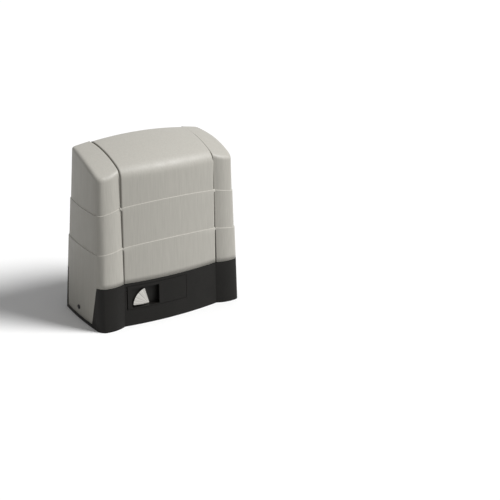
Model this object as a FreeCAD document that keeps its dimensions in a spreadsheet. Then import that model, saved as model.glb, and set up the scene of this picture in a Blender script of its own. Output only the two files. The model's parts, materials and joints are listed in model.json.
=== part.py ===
import FreeCAD, Part

import math
import os

import Sketcher
from FreeCAD import Placement, Rotation, Vector

# Sliding gate motor: a worm-gear operator that stands beside a sliding gate and drives its rack.
# Frame: +Z up, +X along the gate's travel, -Y the front with the release lever, +Y the gate side with
# the pinion. The origin is on the foot face, midway between the four anchor slots. Millimetres.
# A draft is the lean of a face, in millimetres per millimetre of height.

SIZES = [
    # plan of the housing at the foot
    ("rear_corner_x", 177.5), ("rear_y", 94.0), ("rear_radius", 12.0),
    ("end_middle_x", 186.0), ("end_middle_y", 8.0), ("end_front_x", 187.5), ("end_front_y", 68.0),
    ("corner_bulge", 3.8), ("column_edge_x", 177.0), ("column_edge_y", 91.5), ("column_bulge", 5.0),
    ("valley_x", 123.5), ("valley_y", 84.5), ("panel_bulge", 10.5),
    # heights, arches and drafts
    ("base_height", 100.0), ("rim_gap", 0.8), ("ledge_low_z", 189.0), ("ledge_high_z", 280.0),
    ("ledge_low_radius", 1310.0), ("ledge_high_radius", 1050.0), ("ledge_width", 1.8),
    ("crown_z", 400.0), ("crown_long_radius", 909.0), ("crown_deep_radius", 262.0), ("crown_y", 72.0),
    ("end_draft", 0.021), ("rear_draft", 0.055), ("panel_draft", 0.046), ("column_draft", 0.07),
    ("valley_draft", 0.02), ("seam_draft", 0.008), ("step_draft", 0.022), ("cap_drop", 1.5),
    ("seam_gap", 2.5), ("shell_wall", 3.0), ("tongue_wall", 2.2), ("tongue_reach", 6.0), ("fit_gap", 0.4),
    ("top_radius", 14.0), ("cap_radius", 6.0),
    # base casting
    ("base_wall", 4.0), ("floor_z", 8.0), ("bulkhead_x", 124.0), ("bulkhead_z", 60.0),
    ("skirt_bottom", 8.8), ("skirt_front_low", 49.0), ("skirt_front_high", 68.0), ("skirt_rear", 76.0),
    ("anchor_x", 150.0), ("anchor_y", 35.0), ("anchor_radius", 6.5), ("anchor_slot", 30.0),
    ("jack_x", 160.0), ("jack_y", 64.0), ("jack_radius", 5.0), ("jack_length", 34.0),
    ("cable_x", 62.0), ("cable_radius", 25.0), ("cable_bore", 20.0),
    ("lug_y", 12.0), ("lug_z", 28.0), ("lug_width", 16.0), ("screw_radius", 2.5), ("screw_length", 20.0),
    # drive
    ("shaft_x", -62.0), ("shaft_z", 72.0), ("shaft_radius", 12.5), ("journal_radius", 10.0),
    ("running_gap", 0.04), ("wheel_y", 25.0), ("wheel_width", 18.0), ("worm_module", 3.0),
    ("wheel_teeth", 30), ("worm_radius", 15.0), ("worm_length", 50.0), ("mesh_play", 0.5),
    ("pinion_module", 4.0), ("pinion_teeth", 18), ("pinion_width", 30.0), ("nose_radius", 24.0),
    ("nose_reach", 8.0), ("pinion_gap", 3.0), ("case_wall", 6.0), ("case_room", 4.0),
    ("lid_wall", 6.0), ("lid_boss", 24.0), ("bearing_width", 12.0), ("rear_bearing", 19.5),
    ("front_bearing", 18.0), ("seal_width", 4.0), ("worm_journal", 6.0), ("rotor_journal", 8.0),
    ("worm_bearing", 15.0), ("worm_bearing_width", 9.0),
    ("motor_radius", 48.0), ("motor_length", 84.0), ("motor_wall", 7.0), ("fin_count", 36),
    ("fin_depth", 2.5), ("fin_groove", 3.2), ("stator_depth", 11.0), ("air_gap", 0.8),
    ("bell_length", 14.0),
    # release lever
    ("lever_left_x", -115.0), ("lever_right_x", 34.0), ("lever_bottom", 38.5), ("lever_drop", 7.0),
    ("lever_gap", 0.8), ("lever_wall", 4.0), ("hinge_x", -107.0), ("hinge_y", -79.3),
    ("hinge_radius", 2.5), ("swing_gap", 2.2), ("lug_height", 6.0),
    ("lock_left_x", -105.0), ("lock_right_x", -38.0), ("lock_bottom", 41.0), ("lock_drop", 14.0),
    ("lock_y", -79.5), ("pocket_right_x", -19.0), ("pocket_wall", 3.0),
    ("fan_x", -62.5), ("fan_z", 44.0), ("fan_edge", 3.0), ("fan_start", 104.0), ("fan_end", 177.0),
    ("fan_thickness", 3.5), ("fan_hub", 2.6), ("fan_gap", 1.0),
    ("barrel_x", -87.0), ("barrel_z", 55.5), ("barrel_radius", 7.0), ("barrel_length", 14.0),
    # limit switch
    ("limit_x", 23.0), ("limit_width", 46.0), ("limit_low", 44.0), ("limit_drop", 16.0),
    ("limit_depth", 26.0), ("wand_z", 70.0), ("hub_radius", 7.0), ("hub_flat", 6.0),
    ("hub_length", 10.0),
    ("wand_radius", 3.0), ("wand_length", 62.0), ("tip_radius", 6.0), ("tip_length", 18.0),
    # shelf and electronics
    ("post_x", 112.0), ("post_front", -56.0), ("post_rear", 66.0), ("post_radius", 5.0),
    ("shelf_z", 196.0), ("shelf_thickness", 2.0), ("shelf_reach_x", 106.0),
    ("tray_width", 212.0), ("tray_height", 128.0), ("tray_front", -50.0), ("tray_depth", 30.0),
    ("tray_wall", 2.0), ("board_margin", 9.0), ("board_thickness", 1.6), ("board_lift", 8.0),
    ("toroid_x", 56.0), ("toroid_y", 28.0), ("toroid_radius", 40.0), ("toroid_bore", 14.0),
    ("toroid_height", 42.0), ("filter_x", -52.0), ("filter_length", 84.0), ("filter_width", 56.0),
    ("filter_height", 46.0),
]
ALIASES = {alias for alias, _ in SIZES}

doc = FreeCAD.newDocument("sliding_gate_motor")
dims = doc.addObject("Spreadsheet::Sheet", "dims")
for row, (alias, number) in enumerate(SIZES, start=1):
    dims.set(f"A{row}", alias)
    dims.set(f"B{row}", str(number))
    dims.setAlias(f"B{row}", alias)
doc.recompute()

nodes = []


def size(alias):
    """The number in the cell with this alias."""
    return float(dims.get(alias))


def named(text):
    """An expression with the sheet's name in front of each alias."""
    words, word = [], ""
    for letter in f"{text} ":
        if letter.isalnum() or letter == "_":
            word += letter
            continue
        words += ["dims." + word if word in ALIASES else word, letter]
        word = ""
    return "".join(words).strip()


def number(text):
    """The value of an expression."""
    value = dims.evalExpression(named(text))
    return float(getattr(value, "Value", value))


def node(label, obj):
    """Declare a finished sub-part. Its file gets its label."""
    obj.Label = label
    nodes.append(obj)
    return obj


# ---- primitives with bound sizes

TURNS = {"X": Rotation(Vector(0, 1, 0), 90), "Y": Rotation(Vector(1, 0, 0), -90), "Z": Rotation()}


def place(obj, at, axis="Z"):
    """Put an object's origin at three expressions, with its Z along the given axis."""
    obj.Placement = Placement(Vector(), TURNS[axis])
    for key, text in zip("xyz", at):
        obj.setExpression(f"Placement.Base.{key}", named(text))
    return obj


def box(name, corner, lengths):
    obj = doc.addObject("Part::Box", name)
    for prop, text in zip(("Length", "Width", "Height"), lengths):
        obj.setExpression(prop, named(text))
    return place(obj, corner)


def cylinder(name, radius, height, start, axis="Z"):
    obj = doc.addObject("Part::Cylinder", name)
    obj.setExpression("Radius", named(radius))
    obj.setExpression("Height", named(height))
    return place(obj, start, axis)


def tube(name, outer, inner, height, start, axis="Z"):
    return cut(name, cylinder(name + "_outer", outer, height, start, axis),
               cylinder(name + "_bore", inner, height, start, axis))


def fuse(name, *shapes):
    obj = doc.addObject("Part::MultiFuse", name)
    obj.Shapes = list(shapes)
    obj.Refine = True
    return obj


def cut(name, base, *tools):
    obj = doc.addObject("Part::Cut", name)
    obj.Base = base
    obj.Tool = tools[0] if len(tools) == 1 else fuse(name + "_tools", *tools)
    obj.Refine = True
    return obj


def compound(name, *shapes):
    obj = doc.addObject("Part::Compound", name)
    obj.Links = list(shapes)
    return obj


def feature(name, shape):
    """A form that neither a primitive nor a sketch fits, made by this file's own functions."""
    obj = doc.addObject("Part::Feature", name)
    obj.Shape = shape
    return obj


# ---- PartDesign bodies with bound sketches


def new_body(name, at=("0", "0", "0"), axis="Z"):
    return place(doc.addObject("PartDesign::Body", name), at, axis)


def new_sketch(body, name, role="XY_Plane"):
    plane = next(item for item in body.Origin.OriginFeatures if item.Role == role)
    sketch = body.newObject("Sketcher::SketchObject", name)
    sketch.AttachmentSupport = [(plane, "")]
    sketch.MapMode = "FlatFace"
    return sketch


def hold(sketch, kind, name, text, *where):
    """A named dimension of a sketch, bound to the sheet."""
    index = sketch.addConstraint(Sketcher.Constraint(kind, *where, number(text)))
    sketch.renameConstraint(index, name)
    sketch.setExpression(f"Constraints.{name}", named(text))


def outline(sketch, name, points):
    """A closed polygon whose corners are bound expressions."""
    at = [Vector(number(x), number(y), 0) for x, y in points]
    first = sketch.GeometryCount
    for index in range(len(at)):
        sketch.addGeometry(Part.LineSegment(at[index], at[(index + 1) % len(at)]), False)
    for index, (x, y) in enumerate(points):
        line, after = first + index, first + (index + 1) % len(at)
        sketch.addConstraint(Sketcher.Constraint("Coincident", line, 2, after, 1))
        hold(sketch, "DistanceX", f"{name}_x{index}", x, -1, 1, line, 1)
        hold(sketch, "DistanceY", f"{name}_y{index}", y, -1, 1, line, 1)


def circle(sketch, name, radius, x="0", y="0"):
    """A circle with bound radius and centre."""
    centre = Vector(number(x), number(y), 0)
    index = sketch.addGeometry(Part.Circle(centre, Vector(0, 0, 1), number(radius)), False)
    hold(sketch, "Radius", f"{name}_radius", radius, index)
    hold(sketch, "DistanceX", f"{name}_x", x, -1, 1, index, 3)
    hold(sketch, "DistanceY", f"{name}_y", y, -1, 1, index, 3)


def pad(body, sketch, length, reverse=False):
    obj = body.newObject("PartDesign::Pad", sketch.Name + "_pad")
    obj.Profile = sketch
    obj.setExpression("Length", named(length))
    obj.Reversed = reverse
    return obj


def pocket(body, sketch, length, reverse=False):
    obj = body.newObject("PartDesign::Pocket", sketch.Name + "_pocket")
    obj.Profile = sketch
    obj.setExpression("Length", named(length))
    obj.Reversed = reverse
    return obj


def turned(name, profile, at, axis):
    """A body turned from a half profile of (radius, station) corners. Its axis is the body's Z."""
    body = new_body(name, at, axis)
    sketch = new_sketch(body, name + "_profile", "XZ_Plane")
    outline(sketch, "corner", profile)
    turn = body.newObject("PartDesign::Revolution", name + "_turn")
    turn.Profile = sketch
    turn.ReferenceAxis = (sketch, ["V_Axis"])
    turn.Angle = 360
    return body


# ---- the housing's form

S = {alias: size(alias) for alias, _ in SIZES}
LEVER_TOP = S["base_height"] - S["lever_drop"]
LOCK_TOP = S["base_height"] - S["lock_drop"]
STATOR_BORE = "(motor_radius-motor_wall-stator_depth)"


def bulged(start, end, bulge):
    """An arc from start to end that stands out by the bulge, to the right of the way it runs."""
    way = end.sub(start)
    side = Vector(way.y, -way.x, 0).normalize()
    return Part.Arc(start, start.add(end).multiply(0.5).add(side.multiply(bulge)), end).toShape()


def seam_x(z):
    """Where the panel meets the column beside it."""
    above = max(0.0, z - S["base_height"])
    return S["valley_x"] - S["valley_draft"] * (z - above) - S["seam_draft"] * above


def panel_plan(z, inset):
    """The closed plan of the middle, with the bowed panel carried on a little past its valleys."""
    half, bulge, wide = seam_x(z), S["panel_bulge"], S["valley_x"] + 16
    radius = (half ** 2 + bulge ** 2) / (2 * bulge)
    centre = radius - S["valley_y"] - bulge + S["panel_draft"] * z
    side = centre - math.sqrt((radius - inset) ** 2 - wide ** 2)
    rear = S["rear_y"] - S["rear_draft"] * z - inset
    points = [Vector(-wide, side, z), Vector(0, centre - radius + inset, z), Vector(wide, side, z),
              Vector(wide, rear, z), Vector(-wide, rear, z)]
    front = Part.Arc(points[0], points[1], points[2]).toShape()
    sides = [Part.LineSegment(points[index], points[(index + 1) % 5]).toShape() for index in (2, 3, 4)]
    return Part.Wire([front] + sides)


def plan(z, inset, step=0.0):
    """The closed plan of the housing at a height, moved inwards by the inset. The rear is straight, the
    ends are bowed, and in front two columns stand beside a bowed panel. The step draws the columns'
    inner edges back from the panel."""
    lean = S["end_draft"] * z + inset
    rear = S["rear_y"] - S["rear_draft"] * z - inset
    radius = max(S["rear_radius"] - inset, 2.0)
    corner_x = S["rear_corner_x"] - lean
    valley = Vector(seam_x(z), -S["valley_y"] + S["panel_draft"] * z + step, 0)
    edge = Vector(S["column_edge_x"] - lean, -S["column_edge_y"] + S["column_draft"] * z, 0)
    valley = valley.add(Vector(0.17, 1.04, 0).multiply(inset))
    edge = edge.add(Vector(0.6, 0.93, 0).multiply(inset))
    front = Vector(S["end_front_x"] - lean, -S["end_front_y"] + S["column_draft"] * z, 0)
    middle = Vector(S["end_middle_x"] - lean, S["end_middle_y"], 0)
    high = Vector(corner_x, rear - radius, 0)
    turn = Vector(corner_x - radius * (1 - math.sqrt(0.5)), rear - radius * (1 - math.sqrt(0.5)), 0)
    start = Vector(corner_x - radius, rear, 0)

    def flip(point):
        return Vector(-point.x, point.y, 0)

    edges = [
        bulged(flip(valley), valley, S["panel_bulge"]),
        bulged(valley, edge, S["column_bulge"]),
        bulged(edge, front, S["corner_bulge"]),
        Part.Arc(front, middle, high).toShape(),
        Part.Arc(high, turn, start).toShape(),
        Part.LineSegment(start, flip(start)).toShape(),
        Part.Arc(flip(start), flip(turn), flip(high)).toShape(),
        Part.Arc(flip(high), flip(middle), flip(front)).toShape(),
        bulged(flip(front), flip(edge), S["corner_bulge"]),
        bulged(flip(edge), flip(valley), S["column_bulge"]),
    ]
    wire = Part.Wire(edges)
    wire.translate(Vector(0, 0, z))
    return wire


def drafted(low, high, inset):
    """The housing between two heights, drafted on every face."""
    return Part.makeLoft([plan(z, inset) for z in (low, high)], True, True)


def stepped(low, high, inset):
    """The same, with the columns' inner edges drawn back from the panel further up."""
    step = S["step_draft"]
    return Part.makeLoft([plan(z, inset, step * (z - S["base_height"])) for z in (low, high)], True, True)


def middle(low, high, inset):
    """The middle of the housing, between and a little past the valleys."""
    return Part.makeLoft([panel_plan(z, inset) for z in (low, high)], True, True)


def arch(z, radius):
    """A round block under an arch along X."""
    long = S["end_front_x"]
    return Part.makeCylinder(radius, 2 * long, Vector(0, -long, z - radius), Vector(0, 1, 0))


def crown(drop):
    """The block under the crowned top: a ring about an axis along Y, round in both ways."""
    long, deep = S["crown_long_radius"], S["crown_deep_radius"]
    return Part.makeTorus(long - deep, deep - drop, Vector(0, S["crown_y"], S["crown_z"] - long),
                          Vector(0, 1, 0))


def shroud(form, inset, drop, low, zone=None, rounding=0.0):
    """The solid inside a moulded shell: three tiers, each set back from the one below at an arched
    ledge, under a crowned top whose edges are rounded, apart from those at a seam."""
    tiers = []
    for level, (z, radius) in enumerate(((S["ledge_low_z"], S["ledge_low_radius"]),
                                         (S["ledge_high_z"], S["ledge_high_radius"]))):
        tier = form(low, z + 5, inset + level * S["ledge_width"])
        tiers.append(tier.common(arch(z - inset, radius)))
    top = form(low, S["crown_z"] + 5, inset + 2 * S["ledge_width"])
    tiers.append(top.common(crown(drop + inset)))
    if zone is not None:
        tiers = [tier.common(zone) for tier in tiers]
    if rounding:
        top = tiers[-1]
        face = next(item for item in top.Faces if item.Surface.TypeId == "Part::GeomToroid")
        edges = [edge for edge in face.Edges
                 if abs(edge.Vertexes[0].X - edge.Vertexes[-1].X) > 5 or edge.CenterOfMass.x > 150]
        tiers[-1] = top.makeFillet(rounding, edges)
    return tiers[0].multiFuse(tiers[1:]).removeSplitter().Solids[0]


def beside(offset):
    """The slab between the two seams, moved outwards by the offset."""
    half, low, high = S["end_front_x"] + 20, S["base_height"] - 20, S["crown_z"] + 10
    left, right = seam_x(S["base_height"]) + offset, seam_x(high) + offset
    left += (left - right) * 20 / (high - S["base_height"])
    points = [Vector(-left, -half, low), Vector(left, -half, low), Vector(right, -half, high),
              Vector(-right, -half, high)]
    return Part.Face(Part.makePolygon(points + points[:1])).extrude(Vector(0, 2 * half, 0))


def block(low, high):
    """A plain block from corner to corner."""
    way = Vector(*high).sub(Vector(*low))
    return Part.makeBox(way.x, way.y, way.z, Vector(*low))


LOW = S["base_height"] + S["rim_gap"]
HIGH = S["crown_z"] + 10
END = S["end_front_x"] + 20


def skirt_zone(gap):
    """The wedge of the right end that the cap's skirt fills, grown by the gap."""
    low, high = S["skirt_bottom"] - gap, S["base_height"] + 40
    slope = (S["skirt_front_high"] - S["skirt_front_low"]) / (S["base_height"] - S["skirt_bottom"])
    front_low, front_high = S["skirt_front_low"] - slope * gap, S["skirt_front_high"] + slope * 40
    points = [Vector(0, -front_low - gap, low), Vector(0, S["skirt_rear"] + gap, low),
              Vector(0, S["skirt_rear"] + gap, high), Vector(0, -front_high - gap, high)]
    wedge = Part.Face(Part.makePolygon(points + points[:1])).extrude(Vector(60, 0, 0))
    wedge.translate(Vector(S["anchor_x"], 0, 0))
    return wedge


def saddle():
    """The cover over the middle: front, top and rear in one shell, open at both ends. Its rear foot
    makes way for the shaft's nose where the base is low."""
    zone, wall = beside(0), S["shell_wall"]
    outer = shroud(middle, 0, 0, LOW, zone, S["top_radius"])
    nose = Part.makeCylinder(S["nose_radius"] + 0.5, 60, Vector(S["shaft_x"], 60, S["shaft_z"]),
                             Vector(0, 1, 0))
    return outer.cut([shroud(middle, wall, 0, LOW - 10, zone, S["top_radius"] - wall), nose])


def end_cap():
    """The right end cap: a shell with a skirt down the base's end and a tongue under the cover."""
    wall, drop, gap = S["shell_wall"], S["cap_drop"], S["seam_gap"]
    under, tongue = wall + S["fit_gap"], wall + S["fit_gap"] + S["tongue_wall"]
    right = block((0, -END, -10), (END, END, HIGH))
    outside, inside = right.cut(beside(gap)), right.cut(beside(gap + wall))
    body = shroud(stepped, 0, drop, LOW, outside, S["cap_radius"])
    reach = right.cut(beside(-S["tongue_reach"])).common(beside(gap + wall))
    reach = shroud(middle, under, 0, LOW, reach, S["top_radius"] - wall).common(
        shroud(stepped, under, drop, LOW, reach))
    room = shroud(stepped, wall, drop, LOW - 10, inside)
    hollow = shroud(stepped, tongue, drop, LOW - 10, right)
    shell = body.fuse(reach).cut([hollow, room])
    skin = drafted(S["skirt_bottom"], LOW + 6, 0.15).cut(drafted(0, LOW + 20, wall + 0.15))
    shell = shell.fuse(skin.common(skirt_zone(0)))
    hole = Part.makeCylinder(S["screw_radius"] + 0.1, 80, Vector(S["anchor_x"], S["lug_y"], S["lug_z"]),
                             Vector(1, 0, 0))
    return shell.cut(hole).removeSplitter()


def slot(x, y, radius, length, height):
    """A slot along X, through a floor."""
    half = length / 2 - radius
    ends = [Part.makeCylinder(radius, height, Vector(x + side * half, y, -1)) for side in (-1, 1)]
    middle = Part.makeBox(2 * half, 2 * radius, height, Vector(x - half, y - radius, -1))
    return middle.multiFuse(ends)


def base_shape():
    """The cast base: floor, walls, bulkheads, lugs for the caps' screws, bosses for the jack screws,
    slots for the anchors, and windows for the lever, the shaft and the caps' skirts."""
    wall, floor, rim = S["base_wall"], S["floor_z"], S["base_height"]
    outer = drafted(0, rim, 0)
    inner = drafted(floor, rim + 10, wall)
    walls = outer.cut(inner)
    extra = []
    for side in (-1, 1):
        near = side * S["bulkhead_x"]
        plate = block((min(near, near + side * wall), -END, 0), (max(near, near + side * wall), END,
                                                                S["bulkhead_z"]))
        extra.append(plate.common(outer))
        for jack_y in (-S["jack_y"], S["jack_y"]):
            extra.append(Part.makeCylinder(S["jack_radius"] + wall, 2.5 * floor,
                                           Vector(side * S["jack_x"], jack_y, 0)))
    for low, high in ((S["lever_bottom"] - S["lever_gap"] - S["lug_height"],
                       S["lever_bottom"] - S["lever_gap"]),
                      (LEVER_TOP + S["lever_gap"], rim)):
        hinge = block((S["hinge_x"] - 7, S["hinge_y"] - 7, low), (S["hinge_x"] + 7, S["hinge_y"] + 6, high))
        extra.append(hinge.common(outer))
    limit_y = S["rear_y"] - S["base_wall"] - 6
    pad_block = block((S["limit_x"] - 16, limit_y, S["limit_low"] + 4), (S["limit_x"] + 16, END, rim - 12))
    extra.append(pad_block.common(outer))
    walls = walls.multiFuse(extra)
    cuts = [block((S["lever_left_x"] - S["swing_gap"], -END, S["lever_bottom"] - S["lever_gap"]),
                  (S["lever_right_x"] + S["lever_gap"], S["hinge_y"] + 14, LEVER_TOP + S["lever_gap"]))]
    cuts.append(Part.makeCylinder(S["hinge_radius"] + S["running_gap"], 200,
                                  Vector(S["hinge_x"], S["hinge_y"],
                                         S["lever_bottom"] - S["lever_gap"] - S["lug_height"] - 1)))
    cuts.append(Part.makeCylinder(S["nose_radius"] + 0.5, 60, Vector(S["shaft_x"], 60, S["shaft_z"]),
                                  Vector(0, 1, 0)))
    cuts.append(Part.makeCylinder(S["hub_radius"] + 1, 60, Vector(S["limit_x"], 60, S["wand_z"]),
                                  Vector(0, 1, 0)))
    cuts.append(Part.makeCylinder(S["cable_radius"], 2 * floor + 2, Vector(S["cable_x"], 0, -1)))
    for side in (-1, 1):
        for y in (-1, 1):
            cuts.append(slot(side * S["anchor_x"], y * S["anchor_y"], S["anchor_radius"],
                             S["anchor_slot"], floor + 2))
            cuts.append(Part.makeCylinder(S["jack_radius"] + S["running_gap"], 4 * floor,
                                          Vector(side * S["jack_x"], y * S["jack_y"], -1)))
        zone = skirt_zone(S["lever_gap"]).cut(block((0, -END, -1), (S["jack_x"] + 10, END, rim + 60)))
        cuts.append(zone if side > 0 else zone.mirror(Vector(), Vector(1, 0, 0)))
    lug_end = S["end_middle_x"] - S["end_draft"] * S["lug_z"] - wall - 1
    lug = block((lug_end - S["lug_width"], S["lug_y"] - S["lug_width"] / 2, floor - 2),
                (lug_end, S["lug_y"] + S["lug_width"] / 2, S["lug_z"] + S["lug_width"] / 2))
    lug = lug.cut(Part.makeCylinder(S["screw_radius"] + 0.1, 60, Vector(S["anchor_x"], S["lug_y"], S["lug_z"]),
                                    Vector(1, 0, 0)))
    lugs = [lug, lug.mirror(Vector(), Vector(1, 0, 0))]
    return walls.cut(cuts).multiFuse(lugs).removeSplitter()


# ---- gears


def gear_wire(teeth, module, play, angle=0.0):
    """An involute gear's outline in the XY plane. Each tooth is thinned by half the play on each side,
    and a gap, not a tooth, is centred on the angle."""
    pitch = teeth * module / 2
    inner, outer, root = pitch * math.cos(math.radians(20)), pitch + module, pitch - 1.25 * module
    roll = math.tan(math.radians(20)) - math.radians(20)
    half = math.pi / (2 * teeth) - play / (2 * pitch)

    def at(radius, tooth, side):
        wide = math.acos(min(1.0, inner / radius))
        turn = half + roll - (math.tan(wide) - wide)
        spin = angle + 2 * math.pi * (tooth + 0.5) / teeth + side * turn
        return Vector(radius * math.cos(spin), radius * math.sin(spin), 0)

    low = max(root, inner)
    flank = [low, low + 0.4 * (outer - low), low + 0.75 * (outer - low), outer]
    edges, last = [], None
    for tooth in range(teeth + 1):
        rise = [at(radius, tooth, -1) for radius in flank]
        fall = [at(radius, tooth, 1) for radius in reversed(flank)]
        foot = [Vector(point).multiply(root / point.Length) for point in (rise[0], fall[-1])]
        if last is not None:
            middle = last.add(foot[0]).normalize().multiply(root)
            edges.append(Part.Arc(last, middle, foot[0]).toShape())
        if tooth == teeth:
            break
        if low > root + 0.01:
            edges.append(Part.LineSegment(foot[0], rise[0]).toShape())
        for points in (rise, fall):
            curve = Part.BSplineCurve()
            curve.interpolate(points)
            edges.append(curve.toShape())
            if points is rise:
                middle = rise[-1].add(fall[0]).normalize().multiply(outer)
                edges.append(Part.Arc(rise[-1], middle, fall[0]).toShape())
        if low > root + 0.01:
            edges.append(Part.LineSegment(fall[-1], foot[1]).toShape())
        last = foot[1]
    return Part.Wire(edges)


def gear(teeth, module, width, play, bore, angle=0.0, twist=0.0):
    """A gear about +Z from z = 0. The twist is the turn of its upper face."""
    low, high = gear_wire(teeth, module, play, angle - twist / 2), gear_wire(teeth, module, play,
                                                                             angle + twist / 2)
    high.translate(Vector(0, 0, width))
    solid = Part.makeLoft([low, high], True, True)
    return solid.cut(Part.makeCylinder(bore, width, Vector()))


def worm():
    """The worm about +Z, centred at z = 0: a core with one right-hand thread of 20 degree flanks."""
    module, pitch, length = S["worm_module"], S["worm_radius"], S["worm_length"]
    lead = math.pi * module
    root, outer = pitch - 1.25 * module, pitch + module
    slope = math.tan(math.radians(20))
    half = lead / 4 - S["mesh_play"] / 4
    turns = int(length / lead) - 1
    start = -turns * lead / 2
    wide, narrow = half + 1.4 * module * slope, half - module * slope
    points = [Vector(root - 0.15 * module, 0, start - wide), Vector(outer, 0, start - narrow),
              Vector(outer, 0, start + narrow), Vector(root - 0.15 * module, 0, start + wide)]
    profile = Part.makePolygon(points + points[:1])
    helix = Part.makeHelix(lead, turns * lead, root)
    helix.translate(Vector(0, 0, start))
    thread = Part.Wire(helix.Edges).makePipeShell([profile], True, True)
    core = Part.makeCylinder(root, length, Vector(0, 0, -length / 2))
    return core.fuse(thread)


# ---- base and covers

node("base_housing", feature("base_form", base_shape()))
node("cover_shell", feature("saddle_form", saddle()))
cap_form = end_cap()
node("end_cap_right", feature("right_cap_form", cap_form))
node("end_cap_left", feature("left_cap_form", cap_form.mirror(Vector(), Vector(1, 0, 0))))

for side, label in ((1, "right"), (-1, "left")):
    face_x = "(end_middle_x-end_draft*lug_z)"
    at = (f"{side}*{face_x}", "lug_y", "lug_z")
    screw = new_body(f"cap_screw_{label}_body", at, "X")
    if side < 0:
        screw.Placement = Placement(Vector(), Rotation(Vector(0, 1, 0), -90))
    sketch = new_sketch(screw, f"cap_screw_{label}_shank")
    circle(sketch, "shank", "screw_radius")
    pad(screw, sketch, "screw_length", reverse=True)
    sketch = new_sketch(screw, f"cap_screw_{label}_head")
    circle(sketch, "head", "screw_radius*2")
    pad(screw, sketch, "shell_wall/2")
    node(f"cap_screw_{label}", screw)

jacks = []
for x in (-1, 1):
    for y in (-1, 1):
        name = f"jack_{'l' if x < 0 else 'r'}{'f' if y < 0 else 'b'}"
        at = (f"{x}*jack_x", f"{y}*jack_y", "0")
        stem = cylinder(name + "_stem", "jack_radius", "jack_length", at)
        slit = box(name + "_slit", (f"{x}*jack_x-jack_radius", f"{y}*jack_y-0.6", "jack_length-2"),
                   ("2*jack_radius", "1.2", "3"))
        jacks.append(cut(name, stem, slit))
node("levelling_screws", compound("jack_set", *jacks))

node("cable_grommet", turned("grommet_body", [
    ("cable_bore", "0"), ("cable_radius-0.1", "0"), ("cable_radius-0.1", "floor_z"),
    ("cable_radius+5", "floor_z"), ("cable_radius+5", "floor_z+4"), ("cable_bore", "floor_z+4"),
], ("cable_x", "0", "0"), "Z"))

# ---- gearbox: case, lid, bearings and seal round the worm wheel and the worm

WHEEL = "(wheel_teeth*worm_module/2)"
CASE = f"({WHEEL}+worm_module+case_room+case_wall)"
WORM_Z = f"(shaft_z+{WHEEL}+worm_radius)"
WORM_ROOM = "(worm_radius+worm_module+case_room)"
FRONT = "(wheel_y-wheel_width/2-case_room)"
BACK = "(wheel_y+wheel_width/2+case_room+case_wall)"
HALF_WORM = "(worm_length/2+case_room+case_wall)"
MOTOR_X = f"(shaft_x+{CASE}+1)"
NOSE_END = "(rear_y-rear_draft*shaft_z+nose_reach)"

worm_house = cylinder("worm_house", f"{WORM_ROOM}+case_wall", f"{MOTOR_X}-shaft_x+{HALF_WORM}",
                      (f"shaft_x-{HALF_WORM}", "wheel_y", WORM_Z), "X")
case_outer = fuse("case_outer",
                  cylinder("case_drum", CASE, f"{BACK}-{FRONT}", ("shaft_x", FRONT, "shaft_z"), "Y"),
                  worm_house,
                  cylinder("case_nose", "nose_radius", f"{NOSE_END}-{BACK}+1",
                           ("shaft_x", f"{BACK}-1", "shaft_z"), "Y"),
                  box("case_foot", (f"shaft_x-{CASE}", FRONT, "floor_z"),
                      (f"2*{CASE}", f"{BACK}-{FRONT}", "2*floor_z")))
case_rooms = [
    cylinder("wheel_room", f"{CASE}-case_wall", f"wheel_width+2*case_room+1",
             ("shaft_x", f"{FRONT}-1", "shaft_z"), "Y"),
    cylinder("worm_room", WORM_ROOM, f"worm_length+2*case_room",
             (f"shaft_x-worm_length/2-case_room", "wheel_y", WORM_Z), "X"),
    cylinder("worm_bore", "worm_bearing", f"{MOTOR_X}-shaft_x+{HALF_WORM}+2",
             (f"shaft_x-{HALF_WORM}-1", "wheel_y", WORM_Z), "X"),
    cylinder("shaft_bore", "shaft_radius+1", f"{NOSE_END}-wheel_y+2", ("shaft_x", "wheel_y", "shaft_z"), "Y"),
    cylinder("bearing_seat", "rear_bearing", "bearing_width+seal_width+1",
             ("shaft_x", f"{NOSE_END}-bearing_width-seal_width", "shaft_z"), "Y"),
]
node("gearbox_case", cut("case_form", case_outer, *case_rooms))

lid_plate = fuse("lid_plate",
                 cylinder("lid_disc", CASE, "lid_wall", ("shaft_x", f"{FRONT}-lid_wall", "shaft_z"), "Y"),
                 cylinder("lid_boss_form", "lid_boss", "lid_wall+bearing_width",
                          ("shaft_x", f"{FRONT}-lid_wall-bearing_width", "shaft_z"), "Y"))
lid_tools = [
    cylinder("lid_bore", "front_bearing", "lid_wall+bearing_width+2",
             ("shaft_x", f"{FRONT}-lid_wall-bearing_width-1", "shaft_z"), "Y"),
    cylinder("lid_worm_gap", f"{WORM_ROOM}+case_wall+fit_gap", f"4*{HALF_WORM}",
             (f"shaft_x-{HALF_WORM}-10", "wheel_y", WORM_Z), "X"),
    box("lid_floor_gap", (f"shaft_x-{CASE}-1", f"{FRONT}-40", "0"), (f"2*{CASE}+2", "41", "floor_z+fit_gap")),
]
node("gearbox_lid", cut("lid_form", lid_plate, *lid_tools))

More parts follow.
